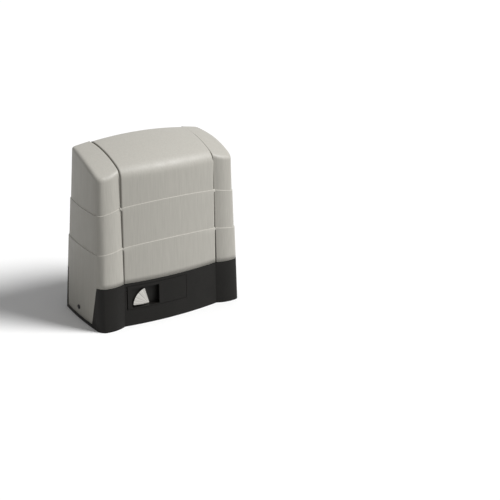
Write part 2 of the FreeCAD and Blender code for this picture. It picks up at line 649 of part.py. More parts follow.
node("front_bearing", tube("front_bearing_ring", "front_bearing", "journal_radius+running_gap",
                           "bearing_width", ("shaft_x", f"{FRONT}-lid_wall-bearing_width", "shaft_z"), "Y"))
node("rear_bearing", tube("rear_bearing_ring", "rear_bearing", "shaft_radius+running_gap", "bearing_width",
                          ("shaft_x", f"{NOSE_END}-bearing_width-seal_width", "shaft_z"), "Y"))
node("shaft_seal", tube("seal_ring", "rear_bearing", "shaft_radius+running_gap", "seal_width",
                        ("shaft_x", f"{NOSE_END}-seal_width", "shaft_z"), "Y"))
node("worm_bearing_left", tube("left_race", "worm_bearing", "worm_journal+running_gap",
                               "worm_bearing_width", (f"shaft_x-{HALF_WORM}", "wheel_y", WORM_Z), "X"))
node("worm_bearing_right", tube("right_race", "worm_bearing", "rotor_journal+running_gap",
                                "worm_bearing_width",
                                (f"{MOTOR_X}-worm_bearing_width", "wheel_y", WORM_Z), "X"))

# ---- drive: output shaft, worm wheel, key, pinion, washer and screw

PINION_Y = f"({NOSE_END}+pinion_gap)"
SEAT = "(shaft_radius-1.5)"
node("output_shaft", turned("shaft_body", [
    ("0", "0"), ("journal_radius", "0"), ("journal_radius", "bearing_width+lid_wall+1"),
    ("shaft_radius", "bearing_width+lid_wall+1"),
    ("shaft_radius", f"{PINION_Y}-{FRONT}+lid_wall+bearing_width"),
    (SEAT, f"{PINION_Y}-{FRONT}+lid_wall+bearing_width"),
    (SEAT, f"{PINION_Y}-{FRONT}+lid_wall+bearing_width+pinion_width-1"),
    ("0", f"{PINION_Y}-{FRONT}+lid_wall+bearing_width+pinion_width-1"),
], ("shaft_x", f"{FRONT}-lid_wall-bearing_width", "shaft_z"), "Y"))

lead_angle = math.atan(S["worm_module"] / (2 * S["worm_radius"]))
wheel_pitch = S["wheel_teeth"] * S["worm_module"] / 2
wheel = feature("wheel_form", gear(int(S["wheel_teeth"]), S["worm_module"], S["wheel_width"],
                                   S["mesh_play"] / 2, S["shaft_radius"], math.radians(-90),
                                   S["wheel_width"] * math.tan(lead_angle) / wheel_pitch))
node("worm_wheel", place(wheel, ("shaft_x", "wheel_y-wheel_width/2", "shaft_z"), "Y"))

pinion = feature("pinion_form", gear(int(S["pinion_teeth"]), S["pinion_module"], S["pinion_width"],
                                     0.2, S["shaft_radius"] - 1.5, math.radians(10)))
node("drive_pinion", place(pinion, ("shaft_x", PINION_Y, "shaft_z"), "Y"))

node("pinion_washer", tube("washer_ring", "shaft_radius+4", "worm_journal-1", "3",
                           ("shaft_x", f"{PINION_Y}+pinion_width", "shaft_z"), "Y"))
screw = new_body("pinion_screw_body", ("shaft_x", f"{PINION_Y}+pinion_width+3", "shaft_z"), "Y")
sketch = new_sketch(screw, "pinion_screw_head")
circle(sketch, "head", "worm_journal+3")
pad(screw, sketch, "worm_journal")
sketch = new_sketch(screw, "pinion_screw_neck")
circle(sketch, "neck", "worm_journal-1")
pad(screw, sketch, "4", reverse=True)
node("pinion_screw", screw)

# ---- motor: worm shaft and rotor inside a finned can

worm_form = feature("worm_thread", worm())
place(worm_form, ("shaft_x", "wheel_y", WORM_Z), "X")
worm_left = cylinder("worm_left", "worm_journal", f"{HALF_WORM}-worm_length/2",
                     (f"shaft_x-{HALF_WORM}", "wheel_y", WORM_Z), "X")
worm_right = cylinder("worm_right", "rotor_journal",
                      f"{MOTOR_X}-shaft_x-worm_length/2+motor_length+bell_length/2",
                      ("shaft_x+worm_length/2", "wheel_y", WORM_Z), "X")
node("worm_shaft", fuse("worm_form_shaft", worm_form, worm_left, worm_right))
node("rotor_core", tube("rotor_stack", f"{STATOR_BORE}-air_gap", "rotor_journal", "motor_length-6*motor_wall",
                        (f"{MOTOR_X}+3*motor_wall", "wheel_y", WORM_Z), "X"))

can = new_body("motor_body", (MOTOR_X, "wheel_y", WORM_Z), "X")
sketch = new_sketch(can, "can_ring")
circle(sketch, "outside", "motor_radius")
circle(sketch, "inside", "motor_radius-motor_wall")
pad(can, sketch, "motor_length")
sketch = new_sketch(can, "can_flange")
circle(sketch, "outside", "motor_radius-motor_wall/2")
circle(sketch, "inside", "worm_bearing+2")
pad(can, sketch, "motor_wall")
doc.recompute()
sketch = new_sketch(can, "can_groove")
outline(sketch, "groove", [
    ("motor_radius-fin_depth", "-fin_groove/2"), ("motor_radius+2", "-fin_groove/2"),
    ("motor_radius+2", "fin_groove/2"), ("motor_radius-fin_depth", "fin_groove/2"),
])
sketch.setExpression("AttachmentOffset.Base.z", named("motor_wall"))
groove = pocket(can, sketch, "motor_length-2*motor_wall", reverse=True)
doc.recompute()
fins = can.newObject("PartDesign::PolarPattern", "can_fins")
fins.Originals = [groove]
fins.Axis = (sketch, ["N_Axis"])
fins.Angle = 360
fins.setExpression("Occurrences", named("fin_count"))
can.Tip = fins
node("motor_can", can)

node("stator", tube("stator_stack", "motor_radius-motor_wall", STATOR_BORE, "motor_length-6*motor_wall",
                    (f"{MOTOR_X}+3*motor_wall", "wheel_y", WORM_Z), "X"))
node("motor_end_bell", turned("bell_body", [
    ("rotor_journal+running_gap", "0"), ("motor_radius", "0"), ("motor_radius", "bell_length/2"),
    ("motor_radius*0.8", "bell_length"), ("0", "bell_length"), ("0", "bell_length/2+1"),
    ("rotor_journal+running_gap", "bell_length/2+1"),
], (f"{MOTOR_X}+motor_length", "wheel_y", WORM_Z), "X"))

# ---- release lever with its lock, and the key cover in front of it


def lever():
    """The lever: a panel that continues the base's bowed front, a pocket for the lock behind its
    window, and two pivots."""
    low, high, wall, rim = S["lever_bottom"], LEVER_TOP, S["pocket_wall"], S["base_height"]
    skin = drafted(0, rim, 0).cut(drafted(-1, rim + 1, S["lever_wall"]))
    skin = skin.common(block((S["lever_left_x"], -END, low), (S["lever_right_x"], 0, high)))
    window = block((S["lock_left_x"], -END, S["lock_bottom"]), (S["lock_right_x"], 0, LOCK_TOP))
    back = block((S["lever_left_x"] + 1, -END, low + 0.5),
                 (S["pocket_right_x"] + wall, S["lock_y"] + wall, high - 0.5))
    room = block((S["lock_left_x"], -END, S["lock_bottom"]), (S["pocket_right_x"], S["lock_y"], LOCK_TOP))
    pivots = Part.makeCylinder(S["hinge_radius"], high - low + 2 * S["lever_gap"] + 2 * S["lug_height"] - 2,
                               Vector(S["hinge_x"], S["hinge_y"], low - S["lever_gap"] - S["lug_height"] + 1))
    shape = skin.cut(window).fuse(back.common(drafted(0, rim, 1)).cut(room))
    holes = [Part.makeCylinder(radius + S["running_gap"], 40, Vector(x, S["lock_y"] - 2, z), Vector(0, 1, 0))
             for radius, x, z in ((S["barrel_radius"], S["barrel_x"], S["barrel_z"]),
                                  (S["fan_hub"] - 1, S["fan_x"], S["fan_z"]))]
    return shape.cut(holes).fuse(pivots.cut(room)).removeSplitter()


node("release_lever", feature("lever_form", lever()))

fan_y = f"(lock_y-fan_gap-fan_thickness)"
fan = doc.addObject("Part::Cylinder", "fan_disc")
fan.setExpression("Radius", named("base_height-lock_drop-fan_z-fan_edge"))
fan.setExpression("Height", named("fan_thickness"))
fan.setExpression("Angle", named("fan_end-fan_start"))
place(fan, ("fan_x", fan_y, "fan_z"), "Y")
fan.Placement = Placement(fan.Placement.Base, TURNS["Y"].multiply(Rotation(Vector(0, 0, 1), -S["fan_end"])))
fan_pin = cylinder("fan_pin", "fan_hub-1", "fan_thickness+fan_gap+pocket_wall", ("fan_x", fan_y, "fan_z"), "Y")
fan_hub = cylinder("fan_boss", "fan_hub", "fan_thickness", ("fan_x", fan_y, "fan_z"), "Y")
node("key_cover", fuse("key_cover_form", fan, fan_pin, fan_hub))

barrel = cylinder("barrel_plug", "barrel_radius", "barrel_length", ("barrel_x", "lock_y-0.4", "barrel_z"), "Y")
keyway = box("keyway", ("barrel_x-0.8", "lock_y-1", "barrel_z-4"), ("1.6", "8", "8"))
node("key_barrel", cut("barrel_form", barrel, keyway))

# ---- limit switch with its sprung wand behind the rear face

LIMIT_Y = "(rear_y-base_wall-6-limit_depth)"
limit_box = box("limit_box", ("limit_x-limit_width/2", LIMIT_Y, "limit_low"),
                ("limit_width", "limit_depth", "base_height-limit_drop-limit_low"))
limit_boss = cylinder("limit_boss", "hub_radius-1", "base_wall+10", ("limit_x", f"{LIMIT_Y}+limit_depth-2",
                                                                   "wand_z"), "Y")
node("limit_switch", fuse("limit_form", limit_box, limit_boss))
WAND_Y = f"({LIMIT_Y}+limit_depth+base_wall+8.4)"
hub_top = box("hub_top", ("limit_x-hub_radius-1", f"{WAND_Y}-1", "wand_z+hub_flat"),
              ("2*hub_radius+2", "hub_length+2", "hub_radius"))
node("wand_hub", cut("hub_form", cylinder("hub", "hub_radius", "hub_length",
                                          ("limit_x", WAND_Y, "wand_z"), "Y"), hub_top))
node("wand_spring", cylinder("spring", "wand_radius", "wand_length",
                             ("limit_x", f"{WAND_Y}+hub_length/2", "wand_z+hub_flat")))
node("wand_tip", cylinder("tip", "tip_radius", "tip_length",
                          ("limit_x", f"{WAND_Y}+hub_length/2", "wand_z+hub_flat+wand_length")))

# ---- shelf on four posts, with the controller, the transformer and the filter

posts = []
for x in (-1, 1):
    for y in ("post_front", "post_rear"):
        name = f"post_{'l' if x < 0 else 'r'}_{y[5:]}"
        posts.append(cylinder(name, "post_radius", "shelf_z-floor_z", (f"{x}*post_x", y, "floor_z")))
node("shelf_posts", compound("post_set", *posts))
shelf = new_body("shelf_body", ("0", "0", "shelf_z"))
sketch = new_sketch(shelf, "shelf_edge")
outline(sketch, "edge", [("-shelf_reach_x-12", "post_front-8"), ("shelf_reach_x+12", "post_front-8"),
                         ("shelf_reach_x+12", "post_rear+8"), ("-shelf_reach_x-12", "post_rear+8")])
pad(shelf, sketch, "shelf_thickness")
node("shelf_plate", shelf)

SHELF_TOP = "(shelf_z+shelf_thickness)"
tray = new_body("tray_body", ("0", "tray_front+tray_depth", SHELF_TOP), "Z")
sketch = new_sketch(tray, "tray_block")
outline(sketch, "edge", [("-tray_width/2", "-tray_depth"), ("tray_width/2", "-tray_depth"),
                         ("tray_width/2", "0"), ("-tray_width/2", "0")])
pad(tray, sketch, "tray_height")
sketch = new_sketch(tray, "tray_room")
outline(sketch, "edge", [("-tray_width/2+tray_wall", "-tray_depth-1"),
                         ("tray_width/2-tray_wall", "-tray_depth-1"),
                         ("tray_width/2-tray_wall", "-tray_wall"), ("-tray_width/2+tray_wall", "-tray_wall")])
sketch.setExpression("AttachmentOffset.Base.z", named("tray_wall"))
pocket(tray, sketch, "tray_height-2*tray_wall", reverse=True)
node("controller_tray", tray)

BOARD_Y = "(tray_front+tray_depth-tray_wall-board_lift)"
node("controller_board", box("board", ("-tray_width/2+board_margin", f"{BOARD_Y}-board_thickness",
                                       f"{SHELF_TOP}+board_margin"),
                             ("tray_width-2*board_margin", "board_thickness",
                              "tray_height-2*board_margin")))
spacers = []
for x in (-1, 1):
    for z, level in (("low", "board_margin+5"), ("high", "tray_height-board_margin-5")):
        spacers.append(cylinder(f"spacer_{z}_{'l' if x < 0 else 'r'}", "3", "board_lift",
                                (f"{x}*(tray_width/2-board_margin-5)", BOARD_Y, f"{SHELF_TOP}+{level}"),
                                "Y"))
node("board_spacers", compound("spacer_set", *spacers))

FACE = f"({BOARD_Y}-board_thickness)"
terminals = []
for index in range(4):
    corner = (f"-tray_width/2+board_margin+8+{index}*(tray_width-2*board_margin-10)/4", f"{FACE}-11",
              f"{SHELF_TOP}+board_margin+3")
    body = box(f"terminal_{index}", corner, ("(tray_width-2*board_margin-10)/4-6", "11", "12"))
    mouth = box(f"terminal_{index}_mouth", (corner[0] + "+2", corner[1] + "-1", corner[2] + "+2"),
                ("(tray_width-2*board_margin-10)/4-10", "6", "4"))
    terminals.append(cut(f"terminal_{index}_block", body, mouth))
node("board_terminals", compound("terminal_set", *terminals))
parts = [box(f"relay_{index}", (f"-70+{index}*24", f"{FACE}-15", f"{SHELF_TOP}+board_margin+30"),
             ("18", "15", "13")) for index in range(3)]
parts += [cylinder(f"capacitor_{index}", "8", "14", (f"24+{index}*20", f"{FACE}-14", f"{SHELF_TOP}+60"), "Y")
          for index in range(3)]
node("board_parts", compound("part_set", *parts))
node("board_display", box("display", ("-60", f"{FACE}-6", f"{SHELF_TOP}+tray_height-board_margin-36"),
                          ("46", "6", "24")))

ring = turned("toroid_body", [
    ("toroid_bore", "4"), ("toroid_bore+4", "0"), ("toroid_radius-4", "0"), ("toroid_radius", "4"),
    ("toroid_radius", "toroid_height-4"), ("toroid_radius-4", "toroid_height"),
    ("toroid_bore+4", "toroid_height"), ("toroid_bore", "toroid_height-4"),
], ("toroid_x", "toroid_y", SHELF_TOP), "Z")
node("transformer", ring)
node("transformer_clamp", turned("clamp_body", [
    ("0", "0"), ("4", "0"), ("4", "toroid_height"), ("toroid_bore+8", "toroid_height"),
    ("toroid_bore+8", "toroid_height+3"), ("6", "toroid_height+3"), ("6", "toroid_height+8"),
    ("0", "toroid_height+8"),
], ("toroid_x", "toroid_y", SHELF_TOP), "Z"))
node("mains_filter", box("filter", ("filter_x-filter_length/2", "toroid_y-filter_width/2", SHELF_TOP),
                         ("filter_length", "filter_width", "filter_height")))

# ---- check everything, then write one file for each sub-part

doc.recompute()
bad = [obj.Name for obj in doc.Objects if "Invalid" in obj.State or "Error" in obj.State]
bad += [obj.Label for obj in nodes if obj.Shape.isNull() or not obj.Shape.isValid()]
if bad:
    raise SystemExit("not built: " + ", ".join(bad))
os.makedirs("parts", exist_ok=True)
for obj in nodes:
    obj.Shape.exportStep(os.path.join("parts", obj.Label + ".step"))
    bounds = obj.Shape.BoundBox
    print(f"{obj.Label:20s} solids {len(obj.Shape.Solids)} volume {obj.Shape.Volume / 1000:9.2f} cm3"
          f"  x {bounds.XMin:7.1f} {bounds.XMax:7.1f}  y {bounds.YMin:7.1f} {bounds.YMax:7.1f}"
          f"  z {bounds.ZMin:6.1f} {bounds.ZMax:6.1f}")
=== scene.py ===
import json
import math

import bpy
import numpy as np
from mathutils import Matrix, Vector


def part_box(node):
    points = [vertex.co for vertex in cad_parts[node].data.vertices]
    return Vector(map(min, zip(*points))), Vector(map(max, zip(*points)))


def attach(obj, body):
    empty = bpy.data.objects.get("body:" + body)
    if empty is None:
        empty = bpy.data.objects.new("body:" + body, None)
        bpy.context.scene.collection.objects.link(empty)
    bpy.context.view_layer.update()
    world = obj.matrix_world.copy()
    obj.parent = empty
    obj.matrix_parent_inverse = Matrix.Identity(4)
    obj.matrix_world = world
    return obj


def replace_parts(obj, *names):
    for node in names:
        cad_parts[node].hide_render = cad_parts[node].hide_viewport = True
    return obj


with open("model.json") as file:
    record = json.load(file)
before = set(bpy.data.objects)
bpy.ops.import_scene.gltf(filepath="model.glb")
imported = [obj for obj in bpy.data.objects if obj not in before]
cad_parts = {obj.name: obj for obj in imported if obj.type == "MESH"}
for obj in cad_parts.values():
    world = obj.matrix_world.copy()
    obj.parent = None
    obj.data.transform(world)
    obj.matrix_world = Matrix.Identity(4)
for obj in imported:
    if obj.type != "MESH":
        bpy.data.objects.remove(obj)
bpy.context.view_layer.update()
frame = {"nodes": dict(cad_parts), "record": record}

bl_info = {
    "name": "Sliding Gate Motor",
    "version": (1, 0, 0),
    "blender": (4, 5, 0),
    "location": "View3D > Sidebar > Gate Motor",
    "description": "Covers, fittings, finishes and studio for a sliding gate motor",
    "category": "Add Mesh",
}

MM = 0.001

# The housing, in millimetres, and its drafts in millimetres of lean per millimetre of height.
RIM = 100.0
COVER_FOOT = RIM + 0.8
VALLEY_X, VALLEY_Y, PANEL_BULGE = 123.5, 84.5, 10.5
REAR_Y, REAR_RADIUS = 94.0, 12.0
PANEL_DRAFT, REAR_DRAFT, END_DRAFT, COLUMN_DRAFT, STEP_DRAFT = 0.046, 0.055, 0.021, 0.07, 0.022
LEDGE_LOW_RADIUS, LEDGE_HIGH_RADIUS = 1310.0, 1050.0
CROWN_LONG_RADIUS, CROWN_DEEP_RADIUS, CROWN_Y = 909.0, 262.0, 72.0
CAP_DROP = 1.5
CAP_COLUMNS = 150
CAP_MIDDLE = (148.0, 2.0)
SKIRT_BOTTOM, SKIRT_FRONT_LOW, SKIRT_FRONT_HIGH, SKIRT_REAR = 8.8, 49.0, 68.0, 76.0
TONGUE_WALL, TONGUE_FIT = 2.2, 0.4
KEY_PIVOT, KEY_RADIUS, KEY_START, KEY_END = (-62.5, 44.0), 39.0, 108, 173


# ---------------------------------------------------------------- settings


class GateMotorHousing(bpy.types.PropertyGroup):
    """Form of the covers, in millimetres."""

    ledge_width: bpy.props.FloatProperty(
        name="Ledge width", description="How far each tier stands inside the one below", default=1.8)
    ledge_low: bpy.props.FloatProperty(
        name="Lower ledge", description="Height at the middle", default=189.0)
    ledge_high: bpy.props.FloatProperty(
        name="Upper ledge", description="Height at the middle", default=280.0)
    crown: bpy.props.FloatProperty(name="Crown", description="Highest point of the crown", default=400.0)
    front_round: bpy.props.FloatProperty(
        name="Front rounding", description="Setback of the rounding along the top front edge", default=17.0)
    rear_round: bpy.props.FloatProperty(
        name="Rear rounding", description="Setback of the rounding along the top rear edge", default=18.0)
    cap_round: bpy.props.FloatProperty(
        name="Cap rounding", description="Setback of the rounding along the caps' top edge", default=9.0)
    wall: bpy.props.FloatProperty(name="Wall", description="Wall of the covers", default=3.0)


class GateMotorFinish(bpy.types.PropertyGroup):
    """Colours of the finishes."""

    cover: bpy.props.FloatVectorProperty(
        name="Cover", description="Grey plastic of cover and end caps", subtype="COLOR", size=3,
        default=(0.43, 0.415, 0.375), min=0, max=1)
    base: bpy.props.FloatVectorProperty(
        name="Base", description="Black paint of the base", subtype="COLOR", size=3,
        default=(0.0080, 0.0074, 0.0064), min=0, max=1)
    chrome: bpy.props.FloatVectorProperty(
        name="Chrome", description="Chrome of the key cover", subtype="COLOR", size=3,
        default=(0.50, 0.49, 0.46), min=0, max=1)
    floor: bpy.props.FloatVectorProperty(
        name="Floor", description="Floor and backdrop", subtype="COLOR", size=3,
        default=(1.0, 1.0, 1.0), min=0, max=1)


# ---------------------------------------------------------------- meshes


def grid_faces(rows, columns, start=0, closed=False):
    """Quads of a grid of points stored row by row. A closed grid joins its last column to its first."""
    r, c = np.meshgrid(np.arange(rows - 1), np.arange(columns if closed else columns - 1), indexing="ij")
    r, c = r.ravel(), c.ravel()
    d = (c + 1) % columns
    low, high = start + r * columns, start + (r + 1) * columns
    return np.stack([low + c, low + d, high + d, high + c], 1)


def mesh_piece(name, points, faces, body, finish, angle=32.0, flip=False):
    """A smooth object from points in millimetres and faces, riding on a body. Edges sharper than the
    angle, in degrees, stay sharp."""
    mesh = bpy.data.meshes.new(name)
    faces = [list(map(int, face[::-1] if flip else face)) for face in faces]
    mesh.from_pydata((np.asarray(points, float) * MM).tolist(), [], faces)
    mesh.validate()
    piece = bpy.data.objects.new(name, mesh)
    bpy.context.scene.collection.objects.link(piece)
    mesh.materials.append(finish)
    mesh.polygons.foreach_set("use_smooth", np.ones(len(mesh.polygons), bool))
    mesh.set_sharp_from_angle(angle=math.radians(angle))
    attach(piece, body)
    return piece


def walled(piece, thickness):
    """Give an open surface its wall, inwards from the outside face."""
    modifier = piece.modifiers.new("wall", "SOLIDIFY")
    modifier.thickness = thickness * MM
    modifier.offset = -1
    return piece


def ease(value):
    """A smooth step from 0 to 1: three times the square less twice the cube."""
    value = np.clip(value, 0, 1)
    return value * value * (3 - 2 * value)


def bend(first, corner, last, count):
    """Points of a quadratic Bezier curve: first and last are its ends and the corner is its pole."""
    t = np.linspace(0, 1, count).reshape((-1,) + (1,) * first.ndim)
    return (1 - t) ** 2 * first + 2 * t * (1 - t) * corner + t ** 2 * last


# ---------------------------------------------------------------- form of the housing, in millimetres


def seam_x(z):
    """The seam's distance from the middle: it leans by 0.020 up to the rim and by 0.008 above."""
    above = np.maximum(z - RIM, 0)
    return VALLEY_X - 0.02 * (z - above) - 0.008 * above


def ledge(x, height, radius):
    """Height of a ledge: an arc of the given radius, highest in the middle."""
    return height - radius + np.sqrt(radius ** 2 - x ** 2)


def tier_inset(x, z, form):
    """How far the face stands inside the foot's outline: one ledge width above each ledge."""
    low, high = ledge(x, form.ledge_low, LEDGE_LOW_RADIUS), ledge(x, form.ledge_high, LEDGE_HIGH_RADIUS)
    return form.ledge_width * (ease((z - low) / 0.9 + 0.5) + ease((z - high) / 0.9 + 0.5))


def crown_z(x, y, form, drop=0.0):
    """Height of the crown: a ring of the deep radius, turned about an axis along Y that lies the long
    radius under its top."""
    y = np.minimum(y, CROWN_Y)
    bulge = np.sqrt((CROWN_DEEP_RADIUS - drop) ** 2 - (y - CROWN_Y) ** 2)
    ring = CROWN_LONG_RADIUS - CROWN_DEEP_RADIUS + bulge
    return form.crown - CROWN_LONG_RADIUS + np.sqrt(ring ** 2 - x ** 2)


def levels(x, form, low, top):
    """Heights of the rows of a wall: even rows on each tier, and close rows across each ledge."""
    first, second = ledge(x, form.ledge_low, LEDGE_LOW_RADIUS), ledge(x, form.ledge_high, LEDGE_HIGH_RADIUS)
    rows = []
    for start, end, count in ((low, first - 0.6, 8), (first - 0.45, first + 0.45, 5),
                              (first + 0.6, second - 0.6, 8), (second - 0.45, second + 0.45, 5),
                              (second + 0.6, top, 8)):
        t = np.linspace(0, 1, count).reshape(-1, 1)
        rows.append(start + t * (end - start))
    return np.concatenate(rows)


def cover_points(form):
    """The cover's outer face on a grid: columns run across from seam to seam, and rows run up the bowed
    front, round the front edge, back over the crown, round the rear edge and down the rear."""
    across = np.linspace(-1, 1, 81)

    def front(x, z):
        bow = VALLEY_Y + PANEL_BULGE * (1 - (x / seam_x(z)) ** 2)
        return -bow + PANEL_DRAFT * z + tier_inset(x, z, form)

    def rear(x, z):
        return REAR_Y - REAR_DRAFT * z - tier_inset(x, z, form)

    top = np.full_like(across, 360.0)
    back = np.full_like(across, 390.0)
    for _ in range(30):
        top = crown_z(across * seam_x(top), front(across * seam_x(top), top), form)
        back = crown_z(across * seam_x(back), rear(across * seam_x(back), back), form)
    columns_x = across * seam_x(top)

    def corner(z, wall, lean, setback, inward):
        x = across * seam_x(z)
        pole = np.stack([x, wall(x, z), z], -1)
        down = pole + setback * np.stack([0 * z, 0 * z - lean, 0 * z - 1], -1)
        over = pole + np.stack([0 * z, 0 * z + inward * setback, 0 * z], -1)
        over[:, 2] = crown_z(over[:, 0], over[:, 1], form)
        return down, pole, over

    low_front, pole_front, top_front = corner(top, front, PANEL_DRAFT, form.front_round, 1)
    low_rear, pole_rear, top_rear = corner(back, rear, -REAR_DRAFT, form.rear_round, -1)
    z_front = levels(columns_x, form, COVER_FOOT, low_front[:, 2])
    x_front = across * seam_x(z_front)
    z_rear = levels(columns_x, form, COVER_FOOT, low_rear[:, 2])
    x_rear = across * seam_x(z_rear)
    t = np.linspace(0, 1, 30)[1:-1].reshape(-1, 1, 1)
    roof = top_front + t * (top_rear - top_front)
    roof[..., 2] = crown_z(roof[..., 0], roof[..., 1], form)
    return np.concatenate([
        np.stack([x_front, front(x_front, z_front), z_front], -1),
        bend(low_front, pole_front, top_front, 11)[1:],
        roof,
        bend(top_rear, pole_rear, low_rear, 9),
        np.stack([x_rear, rear(x_rear, z_rear), z_rear], -1)[::-1][1:],
    ])


def arc(first, middle, last, count):
    """Points along the circle through three points of the plane: its centre is where the two chords'
    perpendicular bisectors meet."""
    ax, ay, bx, by, cx, cy = *first, *middle, *last
    d = 2 * (ax * (by - cy) + bx * (cy - ay) + cx * (ay - by))
    a, b, c = ax * ax + ay * ay, bx * bx + by * by, cx * cx + cy * cy
    centre = np.array([a * (by - cy) + b * (cy - ay) + c * (ay - by),
                       a * (cx - bx) + b * (ax - cx) + c * (bx - ax)]) / d
    angles = np.unwrap([math.atan2(p[1] - centre[1], p[0] - centre[0]) for p in (first, middle, last)])
    turn = np.linspace(angles[0], angles[2], count)
    radius = math.hypot(ax - centre[0], ay - centre[1])
    return centre + radius * np.stack([np.cos(turn), np.sin(turn)], -1)


def end_outline(z, count, start=2.5, step=0.0):
    """The right end's outline at a height, from the front seam round to the rear seam: arcs through the
    column, the front corner, the bowed end and the rear corner, then softened by averaging."""
    valley = np.array([float(seam_x(np.array(z))), -VALLEY_Y + PANEL_DRAFT * z + step])
    lean = END_DRAFT * z
    edge = np.array([177.0 - lean, -91.5 + COLUMN_DRAFT * z])
    front = np.array([187.5 - lean, -68.0 + COLUMN_DRAFT * z])
    middle = np.array([186.0 - lean, 8.0])
    rear = REAR_Y - REAR_DRAFT * z
    corner = 177.5 - lean
    high, close = np.array([corner, rear - REAR_RADIUS]), np.array([corner - REAR_RADIUS, rear])
    turn = np.array([corner, rear]) - REAR_RADIUS * (1 - math.sqrt(0.5))

    def bulged(a, b, bulge):
        way = b - a
        side = np.array([way[1], -way[0]]) / np.linalg.norm(way)
        return arc(a, (a + b) / 2 + side * bulge, b, 120)

    seam = np.array([float(seam_x(np.array(z))) + start, rear])
    line = close + np.linspace(0, 1, 60)[:, None] * (seam - close)
    path = np.concatenate([bulged(valley, edge, 5.0)[:-1], bulged(edge, front, 3.8)[:-1],
                           arc(front, middle, high, 300)[:-1], arc(high, turn, close, 60)[:-1], line])
    path = path[path[:, 0] >= valley[0] + start]
    along = np.concatenate([[0], np.cumsum(np.linalg.norm(np.diff(path, axis=0), axis=1))])
    even = np.linspace(0, along[-1], 1200)
    path = np.stack([np.interp(even, along, path[:, 0]), np.interp(even, along, path[:, 1])], -1)
    reach = int(round(7.0 / (along[-1] / 1199)))
    weights = np.hanning(2 * reach + 1)
    weights /= weights.sum()
    padded = np.concatenate([2 * path[0] - path[reach:0:-1], path, 2 * path[-1] - path[-2:-reach - 2:-1]])
    path = np.stack([np.convolve(padded[:, i], weights, "valid") for i in (0, 1)], -1)
    bow = np.concatenate([[0], np.cumsum(np.linalg.norm(np.diff(path, axis=0), axis=1)
                                         * (1 + 3 * np.exp(-((path[1:, 1] + 78 - 0.05 * z) / 16) ** 2)
                                            + 3 * np.exp(-((path[1:, 1] - rear + 5) / 7) ** 2)))])
    even = np.linspace(0, bow[-1], count)
    return np.stack([np.interp(even, bow, path[:, 0]), np.interp(even, bow, path[:, 1])], -1)


def inward(path):
    """Unit normals of an outline that runs anticlockwise, pointing inwards."""
    way = np.gradient(path, axis=0)
    way /= np.linalg.norm(way, axis=1, keepdims=True)
    return np.stack([-way[:, 1], way[:, 0]], -1)


def cap_points(form):
    """The right cap's outer face. Its wall is ruled between two outlines, with a ledge width more inset
    on each tier, and turns over a Bezier edge on to the crown, which closes in rings round a middle. The
    edge's setback narrows at both corners, r (1 - 0.35 e^-((y - 84) / 20)^2 - 0.2 e^-((y + 84) / 20)^2),
    so that it stays inside the corner's radius."""
    count = CAP_COLUMNS
    foot = end_outline(COVER_FOOT, count)
    head = end_outline(form.crown, count, step=STEP_DRAFT * (form.crown - RIM))
    turn = inward(foot)
    place = np.arange(count) / (count - 1)
    blend = ease(np.minimum(place, 1 - place) / 0.06)[:, None]
    straight = np.stack([np.zeros(count), np.where(place < 0.5, 1.0, -1.0)], -1)
    turn = blend * turn + (1 - blend) * straight
    turn /= np.linalg.norm(turn, axis=1, keepdims=True)

    def wall(z):
        t = (z - COVER_FOOT) / (form.crown - COVER_FOOT)
        plan = foot + t[..., None] * (head - foot)
        inset = tier_inset(foot[:, 0] + 0 * z, z, form)
        return plan + inset[..., None] * turn

    top = np.full(count, 350.0)
    for _ in range(40):
        plan = wall(top)
        top = crown_z(plan[:, 0], plan[:, 1], form, CAP_DROP)
    pole = np.concatenate([wall(top), top[:, None]], -1)
    setback = form.cap_round * (1 - 0.35 * np.exp(-((foot[:, 1] - 84) / 20) ** 2)
                                - 0.2 * np.exp(-((foot[:, 1] + 84) / 20) ** 2))
    low_z = top - setback
    low = np.concatenate([wall(low_z), low_z[:, None]], -1)
    over = pole.copy()
    over[:, :2] += setback[:, None] * turn
    over[:, 2] = crown_z(over[:, 0], over[:, 1], form, CAP_DROP)
    z = levels(foot[:, 0], form, COVER_FOOT, low_z)
    sides = np.concatenate([wall(z), z[..., None]], -1)
    strip = np.concatenate([sides, bend(low, pole, over, 9)[1:]])
    t = np.linspace(0, 1, 62)[1:-1, None]
    seam = over[-1] + t * (over[0] - over[-1])
    seam[:, 2] = crown_z(seam[:, 0], seam[:, 1], form, CAP_DROP)
    loop = np.concatenate([over, seam])
    centre = np.array(CAP_MIDDLE)
    t = np.linspace(0, 1, 13)[1:-1].reshape(-1, 1, 1)
    rings = loop[None] + t * (np.append(centre, 0) - loop[None])
    rings[..., 2] = crown_z(rings[..., 0], rings[..., 1], form, CAP_DROP)
    middle = np.array([[*centre, float(crown_z(*centre, form, CAP_DROP))]])
    rows, columns = strip.shape[:2]
    points = np.concatenate([strip.reshape(-1, 3), seam, rings.reshape(-1, 3), middle])
    faces = list(grid_faces(rows, columns))
    total = len(loop)
    ring = np.concatenate([np.arange((rows - 1) * columns, rows * columns),
                           rows * columns + np.arange(len(seam))])
    first = rows * columns + len(seam)
    for level in range(len(rings)):
        following = first + level * total + np.arange(total)
        faces += list(np.stack([ring, np.roll(ring, -1), np.roll(following, -1), following], 1))
        ring = following
    faces += [[a, b, len(points) - 1] for a, b in zip(ring, np.roll(ring, -1))]
    return points, faces


